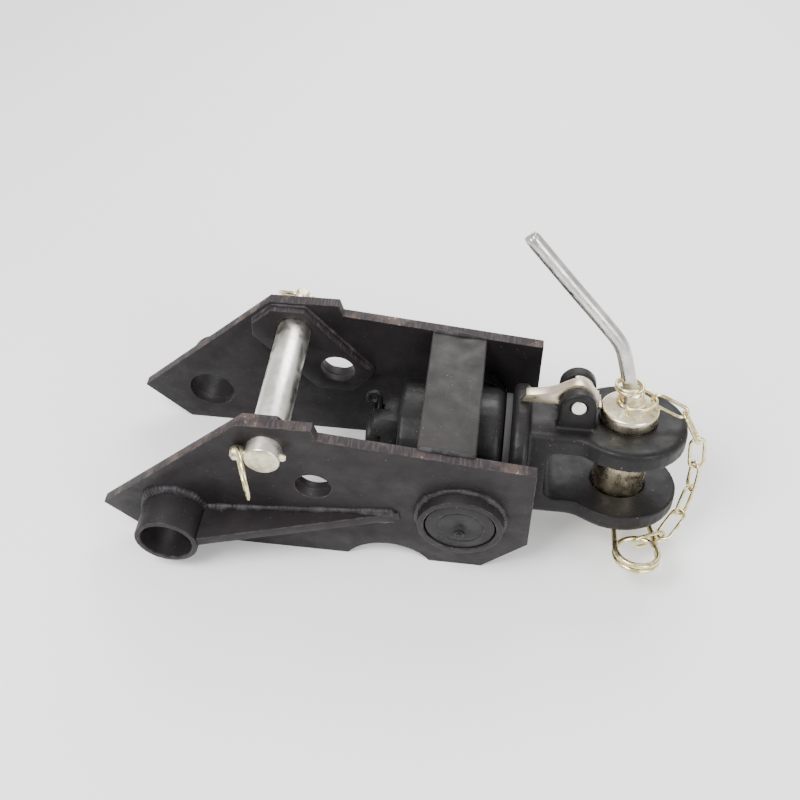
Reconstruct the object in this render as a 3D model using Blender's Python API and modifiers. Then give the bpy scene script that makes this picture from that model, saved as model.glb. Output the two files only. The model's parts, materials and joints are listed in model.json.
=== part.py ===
"""Trunnion-mounted swivel clevis coupler with a top-link pin, drop pin, latch and chained clip.

Axes: +X towards the clevis, +Y towards the far side plate, +Z up. The object stands on the lower
edges of its side plates at z = 0, and the origin is the middle of the overall box on that plane.
Every length below is in millimetres; MM turns it into metres.
"""
import math

import bmesh
import bpy
from mathutils import Euler, Matrix, Vector

MM = 0.001
GAP = 0.3                     # clearance between pieces that touch

# --- where the axes are ---------------------------------------------------------------------
TRUNNION_HEIGHT = 60.0        # trunnion axis above the plates' lower edges
TRUNNION_X = 50.2             # trunnion axis from the middle of the overall box
TRUNNION_Y = 4.6              # mid-plane of the frame from the middle of the overall box
SWIVEL_RISE = 5.0             # swivel axis above the trunnion axis
SWIVEL_TILT = -12.12          # how far the clevis is turned about +X at rest, degrees

# --- side frames ----------------------------------------------------------------------------
PLATE_OUTER = 64.0            # outer face of each side plate from the mid-plane
PLATE_THICK = 8.0
PLATE_INNER = PLATE_OUTER - PLATE_THICK
DOUBLER_THICK = 6.0
BUSH_CENTRE = (-212.6, -24.5)
BUSH_OUTER_R = 23.65
BUSH_INNER_R = 19.5
BUSH_PLATE_R = 18.4
BUSH_END = 95.0               # outer end of the bush tubes from the mid-plane
SPARE_HOLE = (-105.5, 19.5)
SPARE_HOLE_R = 13.3
TOP_PIN_CENTRE = (-136.6, 58.5)
TOP_PIN_R = 12.6
TOP_PIN_HOLE_R = 13.0
TOP_PIN_END = 76.0
NOTCH_CENTRE = (-52.7, -78.8)
NOTCH_R = 35.9
RIB_THICK = 8.0
RING_OUTER_R = 30.5
RING_INNER_R = 25.7
RING_END = 74.3

# --- hub ------------------------------------------------------------------------------------
TRUNNION_R = 25.0
TRUNNION_END = 73.2
HUB_R = 43.0
HUB_REAR = -50.5
HUB_FRONT = 25.0
SHANK_R = 20.0
THREAD_R = 15.0
NUT_ACROSS_CORNERS = 63.5
NUT_REAR = -71.0
SPLIT_PIN_X = -66.0
SPLIT_PIN_R = 2.0

# --- clevis, in its own frame: x along the swivel axis, z up when not swivelled --------------
SHOULDER_R = 48.0
PIN_X = 112.0
PIN_R = 19.0
PIN_HOLE_R = 19.5
LOBE_R = 42.5
BODY_HALF_WIDTH = 29.5
JAW_TOP = 35.6
JAW_BOTTOM = -35.8
THROAT_TOP = 21.0
THROAT_BOTTOM = -21.8
THROAT_BACK = 57.0
EDGE_R = 4.0                  # rounding of the casting's outer edges
BLEND_R = 20.0                # concave blend from the body into the lobes
EAR_CENTRE = (74.8, 52.2)
EAR_R = 13.1
EAR_INNER = 8.0
EAR_OUTER = 18.0
LATCH_PIN = (75.0, 53.8)
LATCH_PIN_R = 5.5

# --- clip and chain, in the clevis frame -----------------------------------------------------
CLIP_Z = -43.6
CLIP_WIRE_R = 2.25
CLIP_COIL_R = 15.6
CLIP_COIL_Y = -50.0
CLIP_TURNS = 1.5
CLIP_TURN_DROP = 4.9
LINK_COUNT = 7
LINK_LENGTH = 29.0
LINK_WIDTH = 12.6
LINK_WIRE_R = 1.2
LINK_TWIST = -13.0            # what each link turns past a right angle, degrees
CHAIN_ROUTE = (               # from the neck ring, past the jaws, to the clip's coil
    (128.0, 0.0, 55.0),
    (149.0, -5.0, 48.0),
    (161.0, -9.0, 28.0),
    (164.0, -8.0, 4.0),
    (164.0, -6.0, -18.0),
    (160.0, -10.0, -39.0),
    (150.0, -24.0, -50.0),
    (128.0, -38.0, -48.0),
)

ROUND_STEPS = 36
SIDES = (("near", -1.0), ("far", 1.0))


def clear_scene():
    """Removes whatever objects the open file holds."""
    for obj in list(bpy.data.objects):
        bpy.data.objects.remove(obj, do_unlink=True)


clear_scene()
PARTS = bpy.data.collections.new("trailer_coupler")
bpy.context.scene.collection.children.link(PARTS)


# --- materials --------------------------------------------------------------------------------
def material(name, colour, roughness, metallic):
    """A plain Principled material."""
    made = bpy.data.materials.new(name)
    made.use_nodes = True
    shader = made.node_tree.nodes["Principled BSDF"]
    shader.inputs["Base Color"].default_value = (*colour, 1.0)
    shader.inputs["Roughness"].default_value = roughness
    shader.inputs["Metallic"].default_value = metallic
    return made


FRAME_PAINT = material("frame_paint", (0.045, 0.04, 0.042), 0.55, 0.0)
BAR_PAINT = material("bar_paint", (0.06, 0.055, 0.055), 0.5, 0.0)
CAST_PAINT = material("cast_paint", (0.035, 0.032, 0.034), 0.5, 0.0)
SEAL_RUBBER = material("seal_rubber", (0.02, 0.02, 0.02), 0.8, 0.0)
PIN_ZINC = material("pin_zinc", (0.72, 0.70, 0.62), 0.35, 1.0)
YELLOW_ZINC = material("yellow_zinc", (0.72, 0.62, 0.42), 0.3, 1.0)
HANDLE_ZINC = material("handle_zinc", (0.6, 0.58, 0.54), 0.28, 1.0)
WIRE_ZINC = material("wire_zinc", (0.75, 0.7, 0.5), 0.3, 1.0)
SPRING_STEEL = material("spring_steel", (0.6, 0.58, 0.5), 0.3, 1.0)


# --- frames of reference ----------------------------------------------------------------------
def empty(name, location, rotation=(0.0, 0.0, 0.0), parent=None):
    """An empty in millimetres and degrees that pieces are parented to."""
    made = bpy.data.objects.new(name, None)
    made.location = Vector(location) * MM
    made.rotation_euler = Euler([math.radians(a) for a in rotation])
    made.parent = parent
    bpy.context.scene.collection.objects.link(made)
    return made


TRUNNION_AXIS = empty("trunnion_axis", (TRUNNION_X, TRUNNION_Y, TRUNNION_HEIGHT))
SWIVEL_AXIS = empty("swivel_axis", (0.0, 0.0, SWIVEL_RISE), (SWIVEL_TILT, 0.0, 0.0), TRUNNION_AXIS)
LATCH_AXIS = empty("latch_axis", (LATCH_PIN[0], 0.0, LATCH_PIN[1]), parent=SWIVEL_AXIS)
DROP_PIN_AXIS = empty("drop_pin_axis", (PIN_X, 0.0, 0.0), parent=SWIVEL_AXIS)
TOP_PIN_PLACE = (TOP_PIN_CENTRE[0], 0.0, TOP_PIN_CENTRE[1])
TOP_PIN_AXIS = empty("top_pin_axis", TOP_PIN_PLACE, parent=TRUNNION_AXIS)


# --- building tools ----------------------------------------------------------------------------
def add_piece(name, mesh, parent, finish):
    """Puts a finished mesh, in its parent's millimetre frame, into the model as one sub-part."""
    mesh.transform(Matrix.Scale(MM, 4))
    mesh.name = name
    mesh.shade_smooth()
    mesh.set_sharp_from_angle(angle=math.radians(32.0))
    mesh.materials.clear()
    mesh.materials.append(finish)
    made = bpy.data.objects.new(name, mesh)
    made.parent = parent
    PARTS.objects.link(made)
    return made


def evaluated_mesh(obj):
    """The object's mesh after its modifiers, welded and facing out; the object is removed."""
    bpy.context.scene.collection.objects.link(obj)
    graph = bpy.context.evaluated_depsgraph_get()
    mesh = bpy.data.meshes.new_from_object(obj.evaluated_get(graph))
    bpy.data.objects.remove(obj, do_unlink=True)
    work = bmesh.new()
    work.from_mesh(mesh)
    bmesh.ops.remove_doubles(work, verts=work.verts, dist=0.0005)
    bmesh.ops.recalc_face_normals(work, faces=work.faces)
    work.to_mesh(mesh)
    work.free()
    return mesh


def combined(mesh, other, operation):
    """Boolean of two meshes that share a frame."""
    base = bpy.data.objects.new("base", mesh)
    tool = bpy.data.objects.new("tool", other)
    tool.hide_render = True
    tool.display_type = "WIRE"
    bpy.context.scene.collection.objects.link(tool)
    modifier = base.modifiers.new("boolean", "BOOLEAN")
    modifier.operation = operation
    modifier.object = tool
    modifier.solver = "EXACT"
    result = evaluated_mesh(base)
    bpy.data.objects.remove(tool, do_unlink=True)
    return result


def cut(mesh, *tools):
    """Takes each tool away from the mesh."""
    for tool in tools:
        mesh = combined(mesh, tool, "DIFFERENCE")
    return mesh


def joined(mesh, *others):
    """Unites the mesh with each of the others."""
    for other in others:
        mesh = combined(mesh, other, "UNION")
    return mesh


def moved(mesh, x=0.0, y=0.0, z=0.0):
    """Shifts a mesh."""
    mesh.transform(Matrix.Translation((x, y, z)))
    return mesh


def turned_to(mesh, axis, degrees):
    """Rotates a mesh about one of its frame's axes."""
    mesh.transform(Matrix.Rotation(math.radians(degrees), 4, axis))
    return mesh


def revolved(profile, closed=False, steps=ROUND_STEPS):
    """Turns (radius, height) points, listed down the outside, about Z."""
    work = bmesh.new()
    points = [work.verts.new((r, 0.0, h)) for r, h in profile]
    for first, second in zip(points, points[1:]):
        work.edges.new((first, second))
    if closed:
        work.edges.new((points[-1], points[0]))
    mesh = bpy.data.meshes.new("profile")
    work.to_mesh(mesh)
    work.free()
    obj = bpy.data.objects.new("profile", mesh)
    screw = obj.modifiers.new("screw", "SCREW")
    screw.steps = steps
    screw.render_steps = steps
    screw.use_merge_vertices = True
    screw.merge_threshold = 0.00005
    return evaluated_mesh(obj)


def cylinder(radius, low, high, axis="Z", steps=ROUND_STEPS, chamfer=0.0):
    """A round bar along one axis, with chamfered ends when asked."""
    profile = [(0.0, high), (radius - chamfer, high), (radius, high - chamfer)]
    profile += [(radius, low + chamfer), (radius - chamfer, low), (0.0, low)]
    if chamfer == 0.0:
        profile = [(0.0, high), (radius, high), (radius, low), (0.0, low)]
    mesh = revolved(profile, steps=steps)
    if axis == "X":
        turned_to(mesh, "Y", 90.0)
    if axis == "Y":
        turned_to(mesh, "X", -90.0)
    return mesh


def pipe(outer, inner, low, high, chamfer=0.0):
    """A straight tube along Z whose upper end has broken edges when asked."""
    profile = [(outer, low), (inner, low), (inner, high)]
    if chamfer > 0.0:
        profile = [(outer, low), (inner, low), (inner, high - chamfer), (inner + chamfer, high)]
        profile += [(outer - chamfer, high), (outer, high - chamfer)]
    else:
        profile += [(outer, high)]
    return revolved(profile, closed=True)


def box(low, high):
    """A box between two corners."""
    work = bmesh.new()
    bmesh.ops.create_cube(work, size=1.0)
    size = Vector(high) - Vector(low)
    bmesh.ops.scale(work, verts=work.verts, vec=size)
    bmesh.ops.translate(work, verts=work.verts, vec=(Vector(high) + Vector(low)) / 2.0)
    mesh = bpy.data.meshes.new("box")
    work.to_mesh(mesh)
    work.free()
    return mesh


def arc(centre, radius, start, end, count):
    """Points on an arc, angles in degrees."""
    points = []
    for step in range(count + 1):
        angle = math.radians(start + (end - start) * step / count)
        points.append((centre[0] + radius * math.cos(angle), centre[1] + radius * math.sin(angle)))
    return points


def slab(outline, thickness, holes=(), edge=0.0, edge_steps=2):
    """A flat outline with round holes, centred on z = 0, its edges rounded when asked."""
    curve = bpy.data.curves.new("outline", "CURVE")
    curve.dimensions = "2D"
    curve.fill_mode = "BOTH"
    curve.extrude = thickness / 2.0
    around = 40
    loops = [outline]
    loops += [arc(centre, radius, 0.0, 360.0 - 360.0 / around, around - 1) for centre, radius in holes]
    for loop in loops:
        spline = curve.splines.new("POLY")
        spline.points.add(len(loop) - 1)
        for point, (x, y) in zip(spline.points, loop):
            point.co = (x, y, 0.0, 1.0)
        spline.use_cyclic_u = True
    mesh = evaluated_mesh(bpy.data.objects.new("outline", curve))
    if edge == 0.0:
        return mesh
    return rounded(mesh, edge, edge_steps)


def rounded(mesh, radius, steps):
    """The slab's face edges rounded, after its faces are made whole."""
    work = bmesh.new()
    work.from_mesh(mesh)
    bmesh.ops.dissolve_limit(work, angle_limit=math.radians(0.1), verts=work.verts, edges=work.edges)
    work.to_mesh(mesh)
    work.free()
    obj = bpy.data.objects.new("slab", mesh)
    bevel = obj.modifiers.new("bevel", "BEVEL")
    bevel.width = radius
    bevel.segments = steps
    bevel.limit_method = "ANGLE"
    bevel.angle_limit = math.radians(50.0)
    return evaluated_mesh(obj)


def upright(mesh, y):
    """Stands a slab drawn in (x, z) up, centred on y."""
    return moved(turned_to(mesh, "X", 90.0), y=y)


def wire(points, radius, cyclic=False, resolution=2):
    """A round wire through points."""
    curve = bpy.data.curves.new("wire", "CURVE")
    curve.dimensions = "3D"
    curve.bevel_depth = radius
    curve.bevel_resolution = resolution
    curve.use_fill_caps = not cyclic
    spline = curve.splines.new("POLY")
    spline.points.add(len(points) - 1)
    for point, place in zip(spline.points, points):
        point.co = (*place, 1.0)
    spline.use_cyclic_u = cyclic
    return evaluated_mesh(bpy.data.objects.new("wire", curve))


def smooth_path(points, per_span=6):
    """A Catmull-Rom curve through points."""
    ends = [Vector(points[0]) * 2.0 - Vector(points[1])]
    ends += [Vector(p) for p in points]
    ends += [Vector(points[-1]) * 2.0 - Vector(points[-2])]
    path = []
    for a, b, c, d in zip(ends, ends[1:], ends[2:], ends[3:]):
        for step in range(per_span):
            t = step / per_span
            path.append(0.5 * (2.0 * b + (c - a) * t + (2.0 * a - 5.0 * b + 4.0 * c - d) * t * t
                               + (3.0 * b - 3.0 * c + d - a) * t ** 3))
    path.append(Vector(points[-1]))
    return path


# --- side frames: plate, doubler, bush tube, gusset rib and trunnion ring ------------------------
def side_plate_outline():
    """The plate in (x, z), anticlockwise from its left tip."""
    notch_end = math.degrees(math.asin((-60.0 - NOTCH_CENTRE[1]) / NOTCH_R))
    points = [(-269.0, -25.8), (-235.4, -60.0)]
    points += arc(NOTCH_CENTRE, NOTCH_R, 180.0 - notch_end, notch_end, 14)
    points += [(17.1, -60.0), (49.1, -26.4), (49.1, 54.8)]
    points += [(-100.3, 71.4), (-102.8, 81.2), (-155.0, 80.8)]
    return points


DOUBLER_OUTLINE = (
    (-170.0, 50.0), (-122.0, -4.0), (-94.0, -4.0), (-78.0, 17.0),
    (-95.2, 36.4), (-128.2, 77.6), (-153.0, 77.6), (-169.0, 62.0),
)


def make_side_frames():
    """Both welded side frames."""
    plate_holes = (
        (BUSH_CENTRE, BUSH_PLATE_R),
        (SPARE_HOLE, SPARE_HOLE_R),
        (TOP_PIN_CENTRE, TOP_PIN_HOLE_R),
        ((0.0, 0.0), RING_INNER_R),
    )
    doubler_holes = (
        (SPARE_HOLE, SPARE_HOLE_R),
        (TOP_PIN_CENTRE, TOP_PIN_HOLE_R),
    )
    plate_mid = PLATE_OUTER - PLATE_THICK / 2.0
    doubler_mid = PLATE_INNER - GAP - DOUBLER_THICK / 2.0
    rib_slope = math.degrees(math.atan2(-BUSH_CENTRE[1], -BUSH_CENTRE[0]))
    for side, sign in SIDES:
        plate = upright(slab(side_plate_outline(), PLATE_THICK, plate_holes), sign * plate_mid)
        add_piece(f"side_plate_{side}", plate, TRUNNION_AXIS, FRAME_PAINT)
        doubler = upright(slab(DOUBLER_OUTLINE, DOUBLER_THICK, doubler_holes), sign * doubler_mid)
        add_piece(f"doubler_{side}", doubler, TRUNNION_AXIS, FRAME_PAINT)
        tube = pipe(BUSH_OUTER_R, BUSH_INNER_R, PLATE_OUTER + GAP, BUSH_END, chamfer=0.6)
        tube = moved(turned_to(tube, "X", -90.0 * sign), BUSH_CENTRE[0], 0.0, BUSH_CENTRE[1])
        add_piece(f"bush_tube_{side}", tube, TRUNNION_AXIS, FRAME_PAINT)
        ring = pipe(RING_OUTER_R, RING_INNER_R, PLATE_OUTER + GAP, RING_END, chamfer=1.0)
        turned_to(ring, "X", -90.0 * sign)
        add_piece(f"trunnion_ring_{side}", ring, TRUNNION_AXIS, FRAME_PAINT)
        # the rib lies in the plane through the tube's and the trunnion's centre lines
        start = BUSH_OUTER_R + GAP
        root = PLATE_OUTER + GAP
        rib_outline = ((start, root), (170.0, root), (170.0, root + 1.0), (start, 93.8))
        rib = slab(rib_outline, RIB_THICK)
        if sign < 0.0:
            turned_to(rib, "X", 180.0)
        turned_to(rib, "Y", -rib_slope)
        moved(rib, BUSH_CENTRE[0], 0.0, BUSH_CENTRE[1])
        add_piece(f"gusset_rib_{side}", rib, TRUNNION_AXIS, FRAME_PAINT)


def make_crossbar():
    """The flat bar that ties the side plates together above the hub."""
    half = PLATE_INNER - GAP
    section = ((-32.8, 53.8), (7.5, 49.4), (7.5, 59.4), (-32.8, 63.8))
    bar = slab(section, half * 2.0, edge=0.8, edge_steps=1)
    add_piece("crossbar", upright(bar, 0.0), TRUNNION_AXIS, BAR_PAINT)


# --- hub: rocks on the trunnions and carries the clevis's shank -----------------------------------
def make_hub():
    """Hub housing, trunnion pins and grease nipples."""
    fillet = 8.0
    profile = [(0.0, HUB_FRONT)]
    profile += [(HUB_R - fillet + r, HUB_FRONT - fillet + h)
                for r, h in arc((0.0, 0.0), fillet, 90.0, 0.0, 5)]
    profile += [(HUB_R, HUB_REAR + 2.0), (HUB_R - 2.0, HUB_REAR), (0.0, HUB_REAR)]
    housing = moved(turned_to(revolved(profile), "Y", 90.0), z=SWIVEL_RISE)
    boss_face = 46.2
    housing = joined(housing, cylinder(TRUNNION_R - 0.2, -boss_face, boss_face, "Y"))
    bore = moved(cylinder(SHANK_R + 0.4, HUB_REAR - 10.0, HUB_FRONT + 10.0, "X"), z=SWIVEL_RISE)
    add_piece("hub_housing", cut(housing, bore), TRUNNION_AXIS, CAST_PAINT)
    nipple_drop = 7.0
    nipple_profile = [(0.0, 3.6), (1.4, 3.2), (1.9, 2.2), (1.2, 1.4), (3.6, 1.0), (3.6, 0.0), (0.0, 0.0)]
    for side, sign in SIDES:
        pin = cylinder(TRUNNION_R, boss_face + GAP, TRUNNION_END, chamfer=1.0)
        turned_to(pin, "X", -90.0 * sign)
        add_piece(f"trunnion_pin_{side}", pin, TRUNNION_AXIS, CAST_PAINT)
        nipple = moved(revolved(nipple_profile, steps=16), z=TRUNNION_END + GAP)
        nipple = moved(turned_to(nipple, "X", -90.0 * sign), z=-nipple_drop)
        add_piece(f"grease_nipple_{side}", nipple, TRUNNION_AXIS, CAST_PAINT)


# --- clevis: casting, washer, castle nut, split pin and the latch's pin ---------------------------
def clevis_outline():
    """Half body, blend, round nose and back, in (x, y)."""
    blend_y = BODY_HALF_WIDTH + BLEND_R
    reach = LOBE_R + BLEND_R
    blend_x = PIN_X - math.sqrt(reach ** 2 - blend_y ** 2)
    angle = math.degrees(math.atan2(blend_y, blend_x - PIN_X))
    upper = [(40.0, BODY_HALF_WIDTH)]
    upper += arc((blend_x, blend_y), BLEND_R, 270.0, 180.0 + angle, 5)
    nose = arc((PIN_X, 0.0), LOBE_R, angle, -angle, 26)
    lower = [(x, -y) for x, y in reversed(upper)]
    return list(reversed(upper + nose[1:-1] + lower))


def ear(sign):
    """One of the two ears that hold the latch's pin."""
    outline = [(EAR_CENTRE[0] - EAR_R, JAW_TOP - 5.0), (EAR_CENTRE[0] + EAR_R, JAW_TOP - 5.0)]
    outline += arc(EAR_CENTRE, EAR_R, 0.0, 180.0, 16)
    thickness = EAR_OUTER - EAR_INNER
    lug = slab(outline, thickness, edge=1.2, edge_steps=1)
    return upright(lug, sign * (EAR_INNER + thickness / 2.0))


def make_clevis():
    """The clevis casting with its shank."""
    outer = slab(clevis_outline(), JAW_TOP - JAW_BOTTOM, edge=EDGE_R, edge_steps=2)
    body = moved(outer, z=(JAW_TOP + JAW_BOTTOM) / 2.0)
    corner = 8.0
    throat = [(PIN_X + 60.0, THROAT_BOTTOM), (PIN_X + 60.0, THROAT_TOP)]
    throat += arc((THROAT_BACK + corner, THROAT_TOP - corner), corner, 90.0, 180.0, 5)
    throat += arc((THROAT_BACK + corner, THROAT_BOTTOM + corner), corner, 180.0, 270.0, 5)
    body = cut(body, upright(slab(throat, 120.0), 0.0))
    ring_profile = [(0.0, 30.4), (43.5, 30.4), (46.5, 31.6), (SHOULDER_R, 34.0)]
    ring_profile = [(r, -x) for r, x in ring_profile]
    back_profile = [(SHOULDER_R, -40.0), (46.0, -42.6), (0.0, -44.0)]
    shoulder = turned_to(revolved(ring_profile + back_profile), "Y", -90.0)
    shank_profile = [(0.0, 76.0), (THREAD_R - 1.5, 76.0), (THREAD_R, 74.5), (THREAD_R, 50.0)]
    shank_profile += [(SHANK_R, 50.0), (SHANK_R, -36.0), (0.0, -36.0)]
    shank = turned_to(revolved(shank_profile), "Y", -90.0)
    body = joined(body, shoulder, shank, ear(1.0), ear(-1.0))
    drop_bore = moved(cylinder(PIN_HOLE_R, -60.0, 60.0), x=PIN_X)
    latch_bore = cylinder(LATCH_PIN_R + GAP, -30.0, 30.0, "Y", steps=32)
    moved(latch_bore, x=LATCH_PIN[0], z=LATCH_PIN[1])
    split_bore = moved(cylinder(SPLIT_PIN_R + 0.9, -30.0, 30.0, steps=16), x=SPLIT_PIN_X)
    body = cut(body, drop_bore, latch_bore, split_bore)
    add_piece("clevis", body, SWIVEL_AXIS, CAST_PAINT)


def make_clevis_fittings():
    """Washer, castle nut, split pin and latch pin."""
    washer = pipe(40.0, SHANK_R + 0.4, HUB_FRONT + GAP, 30.4 - GAP)
    add_piece("thrust_washer", turned_to(washer, "Y", 90.0), SWIVEL_AXIS, SEAL_RUBBER)
    corner_r = NUT_ACROSS_CORNERS / 2.0
    front = HUB_REAR - GAP
    hexagon = slab(arc((0.0, 0.0), corner_r, 30.0, 330.0, 5), front - NUT_REAR)
    hexagon = moved(hexagon, z=-(front + NUT_REAR) / 2.0)
    flat_r = corner_r * math.cos(math.radians(30.0))
    crown = [(0.0, -NUT_REAR), (flat_r, -NUT_REAR), (corner_r + 0.3, -NUT_REAR - 2.4)]
    crown += [(corner_r + 0.3, -front - 1.6), (flat_r + 1.0, -front + 1.0), (0.0, -front + 1.0)]
    nut = combined(hexagon, revolved(crown), "INTERSECT")
    nut = cut(nut, cylinder(THREAD_R + GAP, 30.0, 90.0))
    slot_half = 3.1
    slot_depth = 8.0
    for turn in range(3):
        slot = box((-50.0, -slot_half, -NUT_REAR - slot_depth), (50.0, slot_half, -NUT_REAR + 5.0))
        nut = cut(nut, turned_to(slot, "Z", 60.0 * turn))
    add_piece("castle_nut", turned_to(nut, "Y", -90.0), SWIVEL_AXIS, CAST_PAINT)
    eye_r = 4.4
    split_path = [(x, 0.0, z) for x, z in arc((SPLIT_PIN_X - eye_r, 35.5), eye_r, 300.0, 0.0, 12)]
    split_path += [(SPLIT_PIN_X, 0.0, 30.0), (SPLIT_PIN_X, 0.0, -31.0), (SPLIT_PIN_X - 0.6, 0.0, -34.0)]
    split_path += [(SPLIT_PIN_X - 2.6, 0.0, -36.2), (SPLIT_PIN_X - 8.0, 0.0, -36.8)]
    add_piece("split_pin", wire(split_path, SPLIT_PIN_R), SWIVEL_AXIS, CAST_PAINT)
    latch_pin = cylinder(LATCH_PIN_R, -EAR_OUTER - 0.2, EAR_OUTER + 0.2, "Y", steps=32, chamfer=0.5)
    add_piece("latch_pin", latch_pin, LATCH_AXIS, PIN_ZINC)


# --- latch: sprung flap on the clevis's ears --------------------------------------------------------
def latch_strip():
    """The pressed strip that rides over the pin and ends in the lip, in (x, z) from the pin."""
    centre_line = smooth_path((
        (-36.4, -0.5, 0.0), (-25.0, 1.2, 0.0), (-15.5, 4.3, 0.0), (-8.0, 9.0, 0.0), (-0.6, 11.6, 0.0),
        (6.0, 8.8, 0.0), (11.6, 2.8, 0.0), (13.0, -0.5, 0.0), (13.2, -4.6, 0.0),
    ), 4)
    half = 1.4
    above = []
    below = []
    for index, point in enumerate(centre_line):
        before = centre_line[max(index - 1, 0)]
        after = centre_line[min(index + 1, len(centre_line) - 1)]
        run = (after - before).normalized()
        above.append((point.x - run.y * half, point.y + run.x * half))
        below.append((point.x + run.y * half, point.y - run.x * half))
    return below + list(reversed(above))


def make_latch():
    """The flap, one piece with its side flange and lip, and its torsion spring."""
    strip_low = -7.5
    strip_high = 0.8
    strip = slab(latch_strip(), strip_high - strip_low)
    strip = upright(strip, (strip_low + strip_high) / 2.0)
    flange_outline = [(-40.3, -5.2), (-15.0, -5.2), (-10.5, -7.4), (9.5, -7.4), (12.4, -3.0), (11.2, 3.2)]
    flange_outline += [(5.6, 9.2), (-0.6, 11.8), (-8.0, 9.3), (-15.5, 4.6), (-25.0, 1.4), (-36.6, -0.3)]
    flange_thick = 2.6
    flange = slab(flange_outline, flange_thick, holes=(((0.0, 0.0), LATCH_PIN_R + 0.3),))
    flange = upright(flange, strip_low + flange_thick / 2.0 - 0.05)
    lip = box((11.9, -7.4, -6.3), (14.5, 7.4, -1.0))
    toe = box((12.4, -7.2, -6.5), (16.2, 7.2, -4.4))
    flap = joined(strip, flange, lip, toe)
    add_piece("latch_flap", flap, LATCH_AXIS, YELLOW_ZINC)
    spring_r = 10.0
    spring_wire = 1.1
    turns = 1.75
    per_turn = 16
    pitch = 2.35
    first_y = strip_high + GAP + spring_wire + 0.1
    coil = [(-16.0, first_y, -9.0)]
    for step in range(int(turns * per_turn) + 1):
        angle = math.radians(200.0) + 2.0 * math.pi * step / per_turn
        place = (spring_r * math.cos(angle), spring_r * math.sin(angle))
        coil.append((place[0], first_y + pitch * step / per_turn, place[1]))
    add_piece("latch_spring", wire(coil, spring_wire), LATCH_AXIS, SPRING_STEEL)


# --- drop pin: pin, handle and the two wire rings on its neck -----------------------------------------
def split_ring(radius, wire_r, turns, pitch, start):
    """A flat coil of wire, like a key ring."""
    points = []
    count = int(turns * 20)
    for step in range(count + 1):
        angle = math.radians(start) + 2.0 * math.pi * turns * step / count
        points.append((radius * math.cos(angle), radius * math.sin(angle), pitch * turns * step / count))
    return wire(points, wire_r)


def make_drop_pin():
    """The pin with its collar and neck, its cross-hole and its bent handle."""
    profile = [(0.0, 60.0), (7.4, 60.0), (8.2, 59.2), (8.2, 53.0), (10.4, 51.8), (10.4, 49.8), (11.4, 49.2)]
    profile += [(18.8, 46.6), (19.6, 46.4), (20.4, 45.6), (20.4, 37.2), (19.8, 36.6), (19.0, 36.2)]
    profile += [(PIN_R, -48.0), (PIN_R - 2.0, -50.0), (0.0, -50.0)]
    pin = revolved(profile, steps=40)
    cross_hole = moved(cylinder(CLIP_WIRE_R + 0.75, -40.0, 40.0, "Y", steps=20), z=CLIP_Z)
    add_piece("drop_pin", cut(pin, cross_hole), DROP_PIN_AXIS, YELLOW_ZINC)
    handle_path = smooth_path((
        (-2.5, 0.0, 60.8), (-2.7, 0.0, 64.0), (-4.0, 0.0, 68.5), (-7.0, 0.0, 79.0), (-13.1, 0.0, 96.8),
        (-25.0, 0.0, 112.0), (-51.7, 0.0, 141.7), (-82.4, 0.0, 176.5),
    ), 4)
    add_piece("pin_handle", wire(handle_path, 5.4, resolution=3), DROP_PIN_AXIS, HANDLE_ZINC)
    upper = moved(split_ring(9.6, 1.1, 1.8, 2.6, 20.0), x=-2.9, z=61.6)
    add_piece("neck_ring_upper", upper, DROP_PIN_AXIS, WIRE_ZINC)
    lower = moved(split_ring(13.6, LINK_WIRE_R, 0.93, 0.0, -130.0), x=3.6, y=-0.6, z=53.8)
    add_piece("neck_ring_lower", lower, DROP_PIN_AXIS, WIRE_ZINC)


# --- chain and spring clip ------------------------------------------------------------------------------
def evenly_spaced(path, count):
    """The ends of equal stretches along a path."""
    lengths = [(after - before).length for before, after in zip(path, path[1:])]
    stretch = sum(lengths) / count
    places = [path[0]]
    gone = 0.0
    for before, after, length in zip(path, path[1:], lengths):
        while len(places) < count and gone + length >= stretch * len(places):
            places.append(before.lerp(after, (stretch * len(places) - gone) / length))
        gone += length
    return places + [path[-1]]


def make_chain():
    """Links between the neck ring and the clip, each set across the one before it."""
    end_r = LINK_WIDTH / 2.0 - LINK_WIRE_R
    straight = LINK_LENGTH / 2.0 - LINK_WIDTH / 2.0
    loop = arc((straight, 0.0), end_r, -90.0, 90.0, 7) + arc((-straight, 0.0), end_r, 90.0, 270.0, 7)
    places = evenly_spaced(smooth_path(CHAIN_ROUTE, 12), LINK_COUNT)
    width = Vector((0.0, 0.0, 1.0))
    for number, (start, end) in enumerate(zip(places, places[1:]), 1):
        run = (end - start).normalized()
        if number > 1:
            width = run.cross(width)
        width = (width - run * width.dot(run)).normalized()
        if number > 1:
            width = Matrix.Rotation(math.radians(LINK_TWIST), 3, run) @ width
        middle = (start + end) / 2.0 - Vector((PIN_X, 0.0, 0.0))
        points = [middle + run * along + width * across for along, across in loop]
        link = wire(points, LINK_WIRE_R, cyclic=True)
        add_piece(f"chain_link_{number}", link, DROP_PIN_AXIS, WIRE_ZINC)


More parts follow.
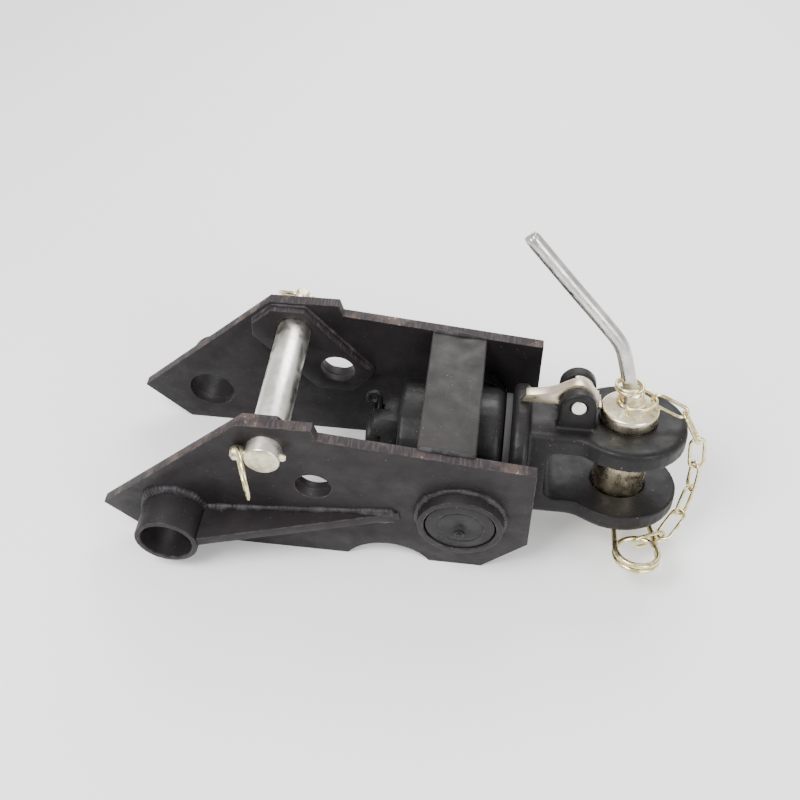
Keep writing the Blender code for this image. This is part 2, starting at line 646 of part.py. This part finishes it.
def make_clip():
    """The R-clip: one leg through the pin, a coil, and a leg that hugs the pin."""
    coil_x = CLIP_COIL_R - 0.2
    points = [(-0.2, y, CLIP_Z) for y in (28.0, 10.0, -10.0, -30.0, -44.0)]
    count = int(CLIP_TURNS * 20)
    for step in range(count + 1):
        turn = CLIP_TURNS * step / count
        angle = math.pi + 2.0 * math.pi * turn
        place = (coil_x + CLIP_COIL_R * math.cos(angle), CLIP_COIL_Y + CLIP_COIL_R * math.sin(angle))
        points.append((*place, CLIP_Z - CLIP_TURN_DROP * turn))
    low = CLIP_Z - CLIP_TURN_DROP * CLIP_TURNS
    hug = smooth_path((
        (31.0, -43.0, low - 0.2), (29.6, -30.0, low), (25.6, -14.0, low + 2.0), (22.0, -4.0, low + 4.0),
        (21.8, 5.0, low + 5.0), (24.0, 13.0, low + 5.0), (28.0, 19.0, low + 5.0),
    ), 4)
    add_piece("r_clip", wire(points + hug, CLIP_WIRE_R), DROP_PIN_AXIS, WIRE_ZINC)


# --- top-link pin with a linch pin at each end ------------------------------------------------------------
LINCH_STEM_R = 3.1
LINCH_REACH = 18.0            # hinge of the ring from the top pin's axis
LINCH_Y = 70.0
LINCH_RING_R = 18.0
LINCH_WIRE_R = 1.4
NEAR_RING_OPEN = -66.0        # how far the near ring stands open, degrees
FAR_RING_OPEN = 40.0
FAR_LINCH_TILT = 13.0


def linch_body():
    """Stem along -X with its head, and the hole the ring's ends sit in along Z."""
    profile = [(0.0, LINCH_REACH + 5.0), (3.4, LINCH_REACH + 4.6), (5.2, LINCH_REACH + 2.6)]
    profile += [(5.2, LINCH_REACH - 3.0), (4.4, LINCH_REACH - 4.4), (LINCH_STEM_R, LINCH_REACH - 4.6)]
    profile += [(LINCH_STEM_R, -14.6), (LINCH_STEM_R - 1.2, -16.2), (0.0, -16.2)]
    body = turned_to(revolved(profile, steps=24), "Y", -90.0)
    ring_hole = moved(cylinder(LINCH_WIRE_R + 0.3, -20.0, 20.0, steps=16), x=-LINCH_REACH)
    return cut(body, ring_hole)


def linch_ring():
    """Open ring in the XZ plane whose ends turn into the head, hinged at the origin about Z."""
    opening = 180.0 - 24.0
    points = [(0.0, 0.0, 2.4), (0.0, 0.0, 6.4)]
    points += [(LINCH_RING_R + x, 0.0, z)
               for x, z in arc((0.0, 0.0), LINCH_RING_R, opening, -opening, 20)]
    points += [(0.0, 0.0, -6.4), (0.0, 0.0, -2.4)]
    return wire(points, LINCH_WIRE_R)


def make_top_pin():
    """The top-link pin, its linch pins and their rings."""
    pin = cylinder(TOP_PIN_R, -TOP_PIN_END, TOP_PIN_END, "Y", chamfer=1.2)
    hole_r = LINCH_STEM_R + 0.4
    near_hole = moved(cylinder(hole_r, -30.0, 30.0, "X", steps=20), y=-LINCH_Y)
    far_hole = moved(turned_to(cylinder(hole_r, -30.0, 30.0, steps=20), "Y", FAR_LINCH_TILT), y=LINCH_Y)
    add_piece("top_pin", cut(pin, near_hole, far_hole), TOP_PIN_AXIS, PIN_ZINC)
    near = moved(linch_body(), y=-LINCH_Y)
    add_piece("linch_pin_near", near, TOP_PIN_AXIS, YELLOW_ZINC)
    near_ring = moved(turned_to(linch_ring(), "Z", NEAR_RING_OPEN), -LINCH_REACH, -LINCH_Y)
    add_piece("linch_ring_near", near_ring, TOP_PIN_AXIS, WIRE_ZINC)
    far_turn = 90.0 + FAR_LINCH_TILT
    far = moved(turned_to(linch_body(), "Y", far_turn), y=LINCH_Y)
    add_piece("linch_pin_far", far, TOP_PIN_AXIS, YELLOW_ZINC)
    far_ring = moved(turned_to(linch_ring(), "Z", FAR_RING_OPEN), x=-LINCH_REACH)
    far_ring = moved(turned_to(far_ring, "Y", far_turn), y=LINCH_Y)
    add_piece("linch_ring_far", far_ring, TOP_PIN_AXIS, WIRE_ZINC)


make_side_frames()
make_crossbar()
make_hub()
make_clevis()
make_clevis_fittings()
make_latch()
make_drop_pin()
make_chain()
make_clip()
make_top_pin()
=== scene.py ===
"""Looks of the trailer coupler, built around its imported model. Lengths are in metres."""

import json
import math

import bmesh
import bpy
from mathutils import Matrix, Vector, geometry, noise


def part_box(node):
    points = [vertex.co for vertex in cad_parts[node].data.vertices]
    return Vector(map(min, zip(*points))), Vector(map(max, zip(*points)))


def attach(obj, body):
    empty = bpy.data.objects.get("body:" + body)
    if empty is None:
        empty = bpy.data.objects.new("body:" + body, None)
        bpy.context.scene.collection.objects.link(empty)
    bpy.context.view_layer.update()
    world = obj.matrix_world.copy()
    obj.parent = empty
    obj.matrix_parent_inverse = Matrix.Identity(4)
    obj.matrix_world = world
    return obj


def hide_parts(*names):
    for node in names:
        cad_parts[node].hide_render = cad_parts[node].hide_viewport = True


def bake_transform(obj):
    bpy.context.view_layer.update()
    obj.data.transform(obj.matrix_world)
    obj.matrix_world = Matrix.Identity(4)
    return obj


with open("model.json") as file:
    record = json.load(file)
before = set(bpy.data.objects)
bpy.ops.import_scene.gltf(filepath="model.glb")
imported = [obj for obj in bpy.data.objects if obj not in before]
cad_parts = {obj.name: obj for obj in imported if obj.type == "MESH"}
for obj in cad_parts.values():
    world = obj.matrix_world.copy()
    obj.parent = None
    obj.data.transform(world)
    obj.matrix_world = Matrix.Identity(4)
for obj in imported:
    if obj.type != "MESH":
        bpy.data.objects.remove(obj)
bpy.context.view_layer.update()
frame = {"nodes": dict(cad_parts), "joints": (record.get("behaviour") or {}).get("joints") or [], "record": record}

MM = 0.001
SIDES = (("near", -1.0), ("far", 1.0))
WIRE_NODES = ["pin_handle", "latch_spring", "split_pin", "r_clip", "linch_ring_near", "linch_ring_far"]
WIRE_NODES += ["neck_ring_upper", "neck_ring_lower"]
WIRE_SWELL = 0.08 * MM           # makes up what rounding takes from a wire
LINK_SWELL = 0.2 * MM            # a little fuller on the chain
BAR_THICK = 10.0 * MM
RIB_HALF = 4.2 * MM              # from the rib's middle to its weld
RIB_WELD_END = 168.0 * MM        # from the bush tube's axis
SHARP_ANGLE = 34.0               # degrees past which an edge stays sharp
CHAIN_NODES = [f"chain_link_{number}" for number in range(1, 8)]
SLOT_OF = {row["node"]: row["material_slot"] for row in frame["record"]["subparts"]}
BODY_OF = {node: body for body, nodes in frame["record"]["behaviour"]["bodies"].items() for node in nodes}
JOINTS = {joint["name"]: joint for joint in frame["joints"]}


# --- material tools -----------------------------------------------------------------------------
def add_node(tree, kind, **inputs):
    """A shader node with some of its inputs set, named with underscores for spaces."""
    made = tree.nodes.new(kind)
    for name, value in inputs.items():
        made.inputs[name.replace("_", " ")].default_value = value
    return made


def noise_field(tree, size, detail=4.0, stretch=(1.0, 1.0, 1.0)):
    """Noise whose features are about size metres wide, in the object's own space."""
    place = add_node(tree, "ShaderNodeTexCoord")
    mapping = add_node(tree, "ShaderNodeMapping", Scale=stretch)
    field = add_node(tree, "ShaderNodeTexNoise", Scale=1.0 / size, Detail=detail)
    tree.links.new(place.outputs["Object"], mapping.inputs["Vector"])
    tree.links.new(mapping.outputs["Vector"], field.inputs["Vector"])
    return field.outputs["Fac"]


def remapped(tree, source, low, high, to_low=0.0, to_high=1.0):
    """The source stretched from one range to another and clamped."""
    change = add_node(tree, "ShaderNodeMapRange", From_Min=low, From_Max=high)
    change.inputs["To Min"].default_value = to_low
    change.inputs["To Max"].default_value = to_high
    tree.links.new(source, change.inputs["Value"])
    return change.outputs["Result"]


def mixed(tree, factor, first, second):
    """A colour between two, each a socket or a colour."""
    mix = tree.nodes.new("ShaderNodeMix")
    mix.data_type = "RGBA"
    tree.links.new(factor, mix.inputs[0])
    for socket, value in ((mix.inputs[6], first), (mix.inputs[7], second)):
        if isinstance(value, tuple):
            socket.default_value = (*value, 1.0)
        else:
            tree.links.new(value, socket)
    return mix.outputs[2]


def product(tree, first, second):
    """Two values multiplied."""
    maths = tree.nodes.new("ShaderNodeMath")
    maths.operation = "MULTIPLY"
    tree.links.new(first, maths.inputs[0])
    tree.links.new(second, maths.inputs[1])
    return maths.outputs[0]


def bumped(tree, layers):
    """Bump nodes chained, each layer a (field, height in metres)."""
    normal = None
    for field, height in layers:
        bump = add_node(tree, "ShaderNodeBump", Strength=1.0, Distance=height)
        tree.links.new(field, bump.inputs["Height"])
        if normal is not None:
            tree.links.new(normal, bump.inputs["Normal"])
        normal = bump.outputs["Normal"]
    return normal


def edge_mask(tree, radius):
    """Close to 1 along an edge, where the rounded normal leaves the true one."""
    soft = add_node(tree, "ShaderNodeBevel", Radius=radius)
    true = tree.nodes.new("ShaderNodeNewGeometry")
    dot = tree.nodes.new("ShaderNodeVectorMath")
    dot.operation = "DOT_PRODUCT"
    tree.links.new(soft.outputs["Normal"], dot.inputs[0])
    tree.links.new(true.outputs["Normal"], dot.inputs[1])
    return remapped(tree, dot.outputs["Value"], 0.99, 0.8)


def new_material(name, metallic=0.0):
    """An empty Principled material, its tree and its shader."""
    made = bpy.data.materials.new(name)
    made.use_nodes = True
    shader = made.node_tree.nodes["Principled BSDF"]
    shader.inputs["Metallic"].default_value = metallic
    return made, made.node_tree, shader


# --- materials -----------------------------------------------------------------------------------
def painted(name, dark, light, worn, roughness, grain, speck=(0.16, 0.14, 0.13)):
    """Thin black paint over steel: patches, specks, and bare light edges."""
    edge_width = 1.1 * MM
    made, tree, shader = new_material(name)
    patches = remapped(tree, noise_field(tree, 0.035, 6.0), 0.35, 0.7)
    specks = remapped(tree, noise_field(tree, 0.0016, 2.0), 0.71, 0.78)
    breaks = remapped(tree, noise_field(tree, 0.006, 5.0), 0.42, 0.62)
    colour = mixed(tree, patches, dark, light)
    colour = mixed(tree, specks, colour, speck)
    colour = mixed(tree, product(tree, edge_mask(tree, edge_width), breaks), colour, worn)
    tree.links.new(colour, shader.inputs["Base Color"])
    drift = noise_field(tree, 0.012, 5.0)
    rough = remapped(tree, drift, 0.3, 0.7, roughness - 0.1, roughness + 0.12)
    tree.links.new(rough, shader.inputs["Roughness"])
    shader.inputs["Specular IOR Level"].default_value = 0.2
    layers = [(noise_field(tree, 0.014, 3.0), grain), (noise_field(tree, 0.0011, 3.0), 0.07 * MM)]
    normal = bumped(tree, layers)
    tree.links.new(normal, shader.inputs["Normal"])
    return made


def flame_cut():
    """The plates' cut edges: dark scale with brown patches, drag lines and bright chips."""
    made, tree, shader = new_material("flame_cut_edge")
    lines = noise_field(tree, 0.0016, 3.0, stretch=(1.0, 0.12, 1.0))
    patches = remapped(tree, noise_field(tree, 0.022, 6.0), 0.5, 0.68)
    chips = remapped(tree, noise_field(tree, 0.003, 5.0), 0.62, 0.7)
    colour = mixed(tree, patches, (0.022, 0.018, 0.02), (0.09, 0.062, 0.05))
    colour = mixed(tree, remapped(tree, lines, 0.5, 0.75, 0.0, 0.5), colour, (0.1, 0.082, 0.076))
    colour = mixed(tree, product(tree, patches, chips), colour, (0.34, 0.3, 0.27))
    shader.inputs["Specular IOR Level"].default_value = 0.2
    tree.links.new(colour, shader.inputs["Base Color"])
    shader.inputs["Roughness"].default_value = 0.62
    tree.links.new(bumped(tree, [(lines, 0.0005)]), shader.inputs["Normal"])
    return made


def weld_metal():
    """Painted-over weld, bluish where the paint is thin."""
    made, tree, shader = new_material("weld_metal")
    patches = remapped(tree, noise_field(tree, 0.008, 5.0), 0.45, 0.7)
    colour = mixed(tree, patches, (0.011, 0.0095, 0.0105), (0.036, 0.034, 0.038))
    shader.inputs["Specular IOR Level"].default_value = 0.25
    tree.links.new(colour, shader.inputs["Base Color"])
    shader.inputs["Roughness"].default_value = 0.5
    tree.links.new(bumped(tree, [(noise_field(tree, 0.0018, 4.0), 0.0003)]), shader.inputs["Normal"])
    return made


def plated(name, first, second, roughness, patch=0.02, grain=0.00004, streaks=(1.0, 1.0, 1.0)):
    """Zinc plate whose tint drifts, with fine tool marks and dull spots."""
    made, tree, shader = new_material(name, metallic=1.0)
    drift = remapped(tree, noise_field(tree, patch, 5.0, streaks), 0.35, 0.65)
    spots = remapped(tree, noise_field(tree, 0.0025, 3.0), 0.7, 0.8)
    colour = mixed(tree, drift, first, second)
    colour = mixed(tree, spots, colour, tuple(0.55 * value for value in first))
    tree.links.new(colour, shader.inputs["Base Color"])
    wear = noise_field(tree, 0.006, 5.0, streaks)
    rough = remapped(tree, wear, 0.3, 0.7, roughness - 0.08, roughness + 0.14)
    tree.links.new(rough, shader.inputs["Roughness"])
    normal = bumped(tree, [(noise_field(tree, 0.0012, 4.0, streaks), grain)])
    tree.links.new(normal, shader.inputs["Normal"])
    return made


def rubber():
    """Dark washer."""
    made, tree, shader = new_material("washer_rubber")
    colour = mixed(tree, noise_field(tree, 0.004), (0.012, 0.012, 0.012), (0.03, 0.029, 0.028))
    tree.links.new(colour, shader.inputs["Base Color"])
    shader.inputs["Roughness"].default_value = 0.75
    return made


MATERIALS = {
    "frame_paint": painted("frame_paint_look", (0.009, 0.0075, 0.0082), (0.018, 0.0152, 0.0162),
                           (0.15, 0.13, 0.12), 0.5, 0.0004),
    "bar_paint": painted("bar_paint_look", (0.018, 0.0165, 0.016), (0.029, 0.0265, 0.0255),
                         (0.13, 0.12, 0.11), 0.52, 0.0002),
    "cast_paint": painted("cast_paint_look", (0.007, 0.0063, 0.0067), (0.013, 0.0117, 0.0122),
                          (0.06, 0.056, 0.053), 0.44, 0.0006),
    "seal_rubber": rubber(),
    "pin_zinc": plated("pin_zinc_look", (0.66, 0.64, 0.56), (0.86, 0.85, 0.8), 0.34, 0.03),
    "yellow_zinc": plated("yellow_zinc_look", (0.72, 0.62, 0.42), (0.84, 0.76, 0.58), 0.24, 0.03, 0.000008),
    "flap_zinc": plated("flap_zinc_look", (0.6, 0.48, 0.4), (0.74, 0.66, 0.46), 0.33, 0.012),
    "handle_zinc": plated("handle_zinc_look", (0.5, 0.485, 0.46), (0.7, 0.68, 0.64), 0.3, 0.015, 0.00002),
    "wire_zinc": plated("wire_zinc_look", (0.56, 0.47, 0.23), (0.82, 0.74, 0.47), 0.24, 0.006, 0.00002),
    "linch_zinc": plated("linch_zinc_look", (0.5, 0.43, 0.26), (0.8, 0.76, 0.62), 0.38, 0.006, 0.0003),
    "spring_steel": plated("spring_look", (0.5, 0.46, 0.38), (0.7, 0.66, 0.56), 0.3, 0.005),
}
CUT_EDGE = flame_cut()
WELD = weld_metal()


# --- mesh tools ----------------------------------------------------------------------------------
def place_piece(name, mesh, nodes, has_materials=False):
    """Shows a mesh in place of CAD nodes, with their body, and the material of their slot unless it has some."""
    made = bpy.data.objects.new(name, mesh)
    bpy.context.scene.collection.objects.link(made)
    slot_name = SLOT_OF[nodes[0]]
    if not has_materials:
        mesh.materials.clear()
        mesh.materials.append(MATERIALS[slot_name])
    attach(made, BODY_OF[nodes[0]])
    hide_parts(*nodes)
    return made


def welded_copy(node):
    """The node's mesh with its split vertices joined."""
    mesh = frame["nodes"][node].data.copy()
    work = bmesh.new()
    work.from_mesh(mesh)
    bmesh.ops.remove_doubles(work, verts=work.verts, dist=0.002 * MM)
    bmesh.ops.recalc_face_normals(work, faces=work.faces)
    work.to_mesh(mesh)
    work.free()
    for attribute in ("custom_normal", "sharp_face", "sharp_edge"):
        if attribute in mesh.attributes:
            mesh.attributes.remove(mesh.attributes[attribute])
    return mesh


def with_modifiers(mesh, *recipes):
    """The mesh after modifiers given as (kind, settings)."""
    obj = bpy.data.objects.new("working", mesh)
    bpy.context.scene.collection.objects.link(obj)
    for kind, settings in recipes:
        modifier = obj.modifiers.new(kind.lower(), kind)
        for name, value in settings.items():
            setattr(modifier, name, value)
    graph = bpy.context.evaluated_depsgraph_get()
    result = bpy.data.meshes.new_from_object(obj.evaluated_get(graph))
    bpy.data.objects.remove(obj, do_unlink=True)
    return result


def flats_joined(mesh):
    """Coplanar triangles made whole faces."""
    work = bmesh.new()
    work.from_mesh(mesh)
    bmesh.ops.dissolve_limit(work, angle_limit=math.radians(0.3), verts=work.verts, edges=work.edges)
    work.to_mesh(mesh)
    work.free()
    return mesh


def smooth_with_sharps(mesh, degrees):
    """Smooth shading that keeps edges past an angle."""
    mesh.shade_smooth()
    mesh.set_sharp_from_angle(angle=math.radians(degrees))
    return mesh


def bevelled(mesh, width, segments=3):
    """The mesh's corners rounded."""
    settings = {"width": width, "segments": segments, "limit_method": "ANGLE"}
    settings["angle_limit"] = math.radians(35.0)
    return with_modifiers(flats_joined(mesh), ("BEVEL", settings))


def turned(profile, centre, axis):
    """A fine turned body from (radius, height) points down its outer side, set on an axis."""
    work = bmesh.new()
    points = [work.verts.new((radius, 0.0, height)) for radius, height in profile]
    for first, second in zip(points, points[1:]):
        work.edges.new((first, second))
    if profile[0][0] > 0.0:
        work.edges.new((points[-1], points[0]))
    mesh = bpy.data.meshes.new("turned")
    work.to_mesh(mesh)
    work.free()
    steps = 128
    screw = {"steps": steps, "render_steps": steps, "use_merge_vertices": True, "merge_threshold": 0.00001}
    mesh = with_modifiers(mesh, ("SCREW", screw))
    mesh.transform(Matrix.Translation(centre) @ axis.to_track_quat("Z", "Y").to_matrix().to_4x4())
    return smooth_with_sharps(mesh, SHARP_ANGLE)


# --- plates, bars and tubes ------------------------------------------------------------------------
def show_plates():
    """Plates, doublers, ribs and crossbar with softened corners. The cut edges of the first two are brown."""
    for side, _ in SIDES:
        for kind in ("side_plate", "doubler", "gusset_rib"):
            node = f"{kind}_{side}"
            mesh = bevelled(welded_copy(node), 0.5 * MM)
            mesh.materials.clear()
            mesh.materials.append(MATERIALS["frame_paint"])
            mesh.materials.append(CUT_EDGE)
            low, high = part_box(node)
            middle = (low + high) / 2.0
            for face in mesh.polygons:
                outward = (face.center - middle).dot(face.normal) > 0.0
                if kind != "gusset_rib" and abs(face.normal.y) < 0.5 and outward:
                    face.material_index = 1
            smooth_with_sharps(mesh, SHARP_ANGLE)
            place_piece(f"{node}_skin", mesh, [node], has_materials=True)
    mesh = bevelled(welded_copy("crossbar"), 0.8 * MM)
    place_piece("crossbar_skin", smooth_with_sharps(mesh, SHARP_ANGLE), ["crossbar"])


def show_round_frame_parts():
    """Bush tubes, trunnion rings and trunnion pins, turned fine."""
    for side, sign in SIDES:
        outward = Vector((0.0, sign, 0.0))
        for kind, wall in (("bush_tube", 4.15 * MM), ("trunnion_ring", 4.8 * MM)):
            node = f"{kind}_{side}"
            low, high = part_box(node)
            centre = (low + high) / 2.0
            radius = (high.x - low.x) / 2.0
            half = (high.y - low.y) / 2.0
            lip = 0.8 * MM
            bore = radius - wall
            profile = [(bore + lip, half), (radius - lip, half), (radius - lip / 3.0, half - lip / 3.0)]
            profile += [(radius, half - lip), (radius, -half), (bore, -half), (bore, half - lip)]
            place_piece(f"{node}_skin", turned(profile, centre, outward), [node])
        node = f"trunnion_pin_{side}"
        low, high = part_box(node)
        radius = (high.x - low.x) / 2.0
        half = (high.y - low.y) / 2.0
        groove = 0.5 * MM
        profile = [(0.0, half - groove), (2.6 * MM, half - groove), (3.4 * MM, half)]
        profile += [(radius * 0.62, half), (radius * 0.64, half - groove), (radius * 0.67, half - groove)]
        profile += [(radius * 0.69, half), (radius - 1.6 * MM, half), (radius - 0.5 * MM, half - 0.4 * MM)]
        profile += [(radius, half - 1.5 * MM), (radius, -half), (0.0, -half)]
        place_piece(f"{node}_skin", turned(profile, (low + high) / 2.0, outward), [node])


def show_castings():
    """Clevis and hub with a casting's soft corners, and the nut, latch pin and washer with broken ones."""
    for node, voxel, rounds in (("clevis", 0.9 * MM, 10), ("hub_housing", 1.0 * MM, 7)):
        remesh = {"mode": "VOXEL", "voxel_size": voxel}
        smooth = {"factor": 0.5, "iterations": rounds}
        mesh = with_modifiers(welded_copy(node), ("REMESH", remesh), ("SMOOTH", smooth))
        mesh.shade_smooth()
        place_piece(f"{node}_skin", mesh, [node])
    for node in ("castle_nut", "latch_pin", "thrust_washer"):
        mesh = smooth_with_sharps(bevelled(welded_copy(node), 0.4 * MM, 2), SHARP_ANGLE)
        place_piece(f"{node}_skin", mesh, [node])


# --- pins and wires ---------------------------------------------------------------------------------
DROP_PIN_PLACE = Vector(JOINTS["drop_pin_turn"]["pos_m"])
DROP_AXIS = Vector(JOINTS["drop_pin_turn"]["axis"])


def drop_pin_profile():
    """Neck, cone, polished collar and shank, down the outside, from the joint's place."""
    collar = 20.4
    shank = 19.0
    outline = [(0.0, 60.0), (7.2, 60.0), (7.9, 59.7), (8.2, 59.0), (8.2, 53.0), (8.6, 52.2), (10.4, 51.7)]
    outline += [(10.4, 49.9), (11.4, 49.2), (18.6, 46.7), (19.5, 46.3), (20.1, 45.7), (collar, 44.8)]
    outline += [(collar, 37.8), (20.1, 37.0), (19.4, 36.5), (shank, 36.2), (shank, -48.0)]
    outline += [(18.4, -49.2), (17.0, -50.0), (0.0, -50.0)]
    return [(radius * MM, height * MM) for radius, height in outline]


def show_pins():
    """Top pin and drop pin turned fine, the latch flap with broken corners, and the linch pins and grease nipples
    smooth shaded.
    """
    low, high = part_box("top_pin")
    radius = (high.x - low.x) / 2.0
    half = (high.y - low.y) / 2.0
    edge = 1.2 * MM
    corner = 0.35 * edge
    profile = [(0.0, half), (radius - edge, half), (radius - corner, half - corner), (radius, half - edge)]
    profile += [(r, -h) for r, h in reversed(profile)]
    pin = turned(profile, (low + high) / 2.0, Vector((0.0, 1.0, 0.0)))
    pin.materials.clear()
    pin.materials.append(MATERIALS["pin_zinc"])
    pin.materials.append(MATERIALS["linch_zinc"])
    for face in pin.polygons:
        if abs(face.normal.y) > 0.5:
            face.material_index = 1
    place_piece("top_pin_skin", pin, ["top_pin"], has_materials=True)
    place_piece("drop_pin_skin", turned(drop_pin_profile(), DROP_PIN_PLACE, DROP_AXIS), ["drop_pin"])
    flap = smooth_with_sharps(bevelled(welded_copy("latch_flap"), 0.35 * MM, 2), 40.0)
    place_piece("latch_flap_skin", flap, ["latch_flap"])
    for node in ("linch_pin_near", "linch_pin_far", "grease_nipple_near", "grease_nipple_far"):
        place_piece(f"{node}_skin", smooth_with_sharps(welded_copy(node), 40.0), [node])


def fine_wire(node, swell=WIRE_SWELL):
    """The node's wire made rounder, and swollen to make up what the rounding takes."""
    fine = {"levels": 2, "render_levels": 2}
    thicker = {"strength": swell, "mid_level": 0.0}
    mesh = with_modifiers(welded_copy(node), ("SUBSURF", fine), ("DISPLACE", thicker))
    mesh.shade_smooth()
    return mesh


def show_wires():
    """Rings, clip, spring and handle, and the chain, whose links stay fixed where they are."""
    for node in WIRE_NODES:
        place_piece(f"{node}_skin", fine_wire(node), [node])
    for node in CHAIN_NODES:
        mesh = fine_wire(node, LINK_SWELL)
        mesh.materials.clear()
        mesh.materials.append(MATERIALS["wire_zinc"])
        link = bpy.data.objects.new(f"{node}_skin", mesh)
        bpy.context.scene.collection.objects.link(link)
        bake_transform(link)
        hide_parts(node)


# --- welds -------------------------------------------------------------------------------------------
def bead(name, path, radius, closed=False):
    """A lumpy weld bead along a path, riding on the frame."""
    step = 0.8 * MM
    ripple = 3.2 * MM
    ripple_share = 0.05
    lump_share = 0.45
    lumps_per_metre = 90.0
    points = []
    ends = list(path) + ([path[0]] if closed else [])
    for before, after in zip(ends, ends[1:]):
        count = max(1, round((after - before).length / step))
        points += [before.lerp(after, index / count) for index in range(count)]
    if not closed:
        points.append(ends[-1])
    sides = 12
    work = bmesh.new()
    rings = []
    travelled = 0.0
    for index, point in enumerate(points):
        after = points[(index + 1) % len(points)] if closed else points[min(index + 1, len(points) - 1)]
        before = points[index - 1] if closed or index else points[0]
        run = (after - before).normalized()
        if abs(run.y) > 0.9:
            across = run.orthogonal().normalized()
        else:
            across = run.cross(Vector((0.0, 1.0, 0.0))).normalized()
        up = across.cross(run)
        travelled += step
        swell = 1.0 + ripple_share * math.sin(2.0 * math.pi * travelled / ripple)
        swell += lump_share * noise.noise(point * lumps_per_metre)
        if not closed:
            swell *= min(1.0, 0.35 + 0.25 * min(index, len(points) - 1 - index))
        ring = []
        for side in range(sides):
            angle = 2.0 * math.pi * side / sides
            offset = (across * math.cos(angle) + up * math.sin(angle)) * radius * swell
            ring.append(work.verts.new(point + offset))
        rings.append(ring)
    pairs = list(zip(rings, rings[1:]))
    if closed:
        pairs.append((rings[-1], rings[0]))
    for first, second in pairs:
        for side in range(sides):
            following = (side + 1) % sides
            work.faces.new((first[side], first[following], second[following], second[side]))
    if not closed:
        work.faces.new(rings[0])
        work.faces.new(rings[-1])
    bmesh.ops.recalc_face_normals(work, faces=work.faces)
    mesh = bpy.data.meshes.new(name)
    work.to_mesh(mesh)
    work.free()
    mesh.shade_smooth()
    mesh.materials.append(WELD)
    made = bpy.data.objects.new(name, mesh)
    bpy.context.scene.collection.objects.link(made)
    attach(made, "frame")


def circle(centre, radius, y):
    """Points round an axis along Y."""
    count = 72
    angles = [2.0 * math.pi * index / count for index in range(count)]
    return [Vector((centre.x + radius * math.cos(a), y, centre.z + radius * math.sin(a))) for a in angles]


def add_welds():
    """Beads round the tubes and rings, along the ribs, the crossbar's ends and the doublers."""
    bar_low, bar_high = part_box("crossbar")
    for side, sign in SIDES:
        plate_low, plate_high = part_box(f"side_plate_{side}")
        outer = plate_low.y if sign < 0.0 else plate_high.y
        inner = plate_high.y if sign < 0.0 else plate_low.y
        centres = []
        for kind, radius in (("bush_tube", 4.2 * MM), ("trunnion_ring", 3.0 * MM)):
            low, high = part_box(f"{kind}_{side}")
            centre = (low + high) / 2.0
            centres.append((centre, (high.x - low.x) / 2.0))
            bead(f"weld_{kind}_{side}", circle(centre, centres[-1][1] + 0.3 * MM, outer), radius, closed=True)
        (tube, tube_r), (ring, ring_r) = centres
        along = Vector((ring.x - tube.x, 0.0, ring.z - tube.z)).normalized()
        offset = Vector((-along.z, 0.0, along.x)) * RIB_HALF
        start = Vector((tube.x, outer, tube.z))
        for name, shift in (("upper", offset), ("lower", -offset)):
            path = [start + along * (tube_r + 1.0 * MM) + shift, start + along * RIB_WELD_END + shift]
            bead(f"weld_rib_{name}_{side}", path, 3.2 * MM)
        rear_top = Vector((bar_low.x, inner, bar_high.z))
        top = [rear_top, Vector((bar_high.x, inner, bar_low.z + BAR_THICK))]
        bead(f"weld_bar_top_{side}", top, 1.9 * MM)
        under = [Vector((point.x, inner, point.z - BAR_THICK)) for point in top]
        bead(f"weld_bar_under_{side}", under, 2.2 * MM)
        corners = [vertex.co for vertex in frame["nodes"][f"doubler_{side}"].data.vertices]
        hull = geometry.convex_hull_2d([(point.x, point.z) for point in corners])
        outline = [Vector((corners[index].x, inner, corners[index].z)) for index in hull]
        bead(f"weld_doubler_{side}", outline, 1.7 * MM, closed=True)


# --- stage -------------------------------------------------------------------------------------------
def add_camera():
    """The camera at the photograph's angle."""
    data = bpy.data.cameras.new("camera")
    data.sensor_width = 36.0
    data.lens = 49.75
    data.shift_x = 0.0516
    data.shift_y = 0.0088
    camera = bpy.data.objects.new("camera", data)
    right = Vector((0.98920, 0.14281, -0.03287))
    up = Vector((-0.08722, 0.75401, 0.65104))
    back = right.cross(up)
    turn = Matrix((right, up, back)).transposed().to_4x4()
    camera.matrix_world = Matrix.Translation((0.06421, -0.5145, 0.7093)) @ turn
    bpy.context.scene.collection.objects.link(camera)
    bpy.context.scene.camera = camera


def add_area_light(name, place, size, power):
    """A soft light aimed at the object."""
    data = bpy.data.lights.new(name, "AREA")
    data.size = size
    data.energy = power
    light = bpy.data.objects.new(name, data)
    target = Vector((0.0, 0.0, 0.06))
    turn = (target - Vector(place)).to_track_quat("-Z", "Y").to_matrix().to_4x4()
    light.matrix_world = Matrix.Translation(place) @ turn
    bpy.context.scene.collection.objects.link(light)


def add_stage():
    """Pale floor, pale surroundings and three soft lights."""
    bpy.ops.mesh.primitive_plane_add(size=8.0, location=(0.0, 0.0, -0.0005))
    floor = bpy.context.object
    floor.name = "floor"
    material, _, shader = new_material("floor_look")
    shader.inputs["Base Color"].default_value = (0.92, 0.92, 0.92, 1.0)
    shader.inputs["Roughness"].default_value = 0.9
    floor.data.materials.append(material)
    world = bpy.data.worlds.new("pale")
    world.use_nodes = True
    world.node_tree.nodes["Background"].inputs["Color"].default_value = (1.0, 1.0, 1.0, 1.0)
    world.node_tree.nodes["Background"].inputs["Strength"].default_value = 1.0
    bpy.context.scene.world = world
    add_area_light("key", (-0.5, -0.5, 1.2), 0.6, 24.0)
    add_area_light("fill", (0.9, -0.7, 0.7), 0.6, 10.0)
    add_area_light("rim", (0.2, 0.9, 0.9), 0.7, 14.0)


show_plates()
show_round_frame_parts()
show_castings()
show_pins()
show_wires()
add_welds()
add_camera()
add_stage()
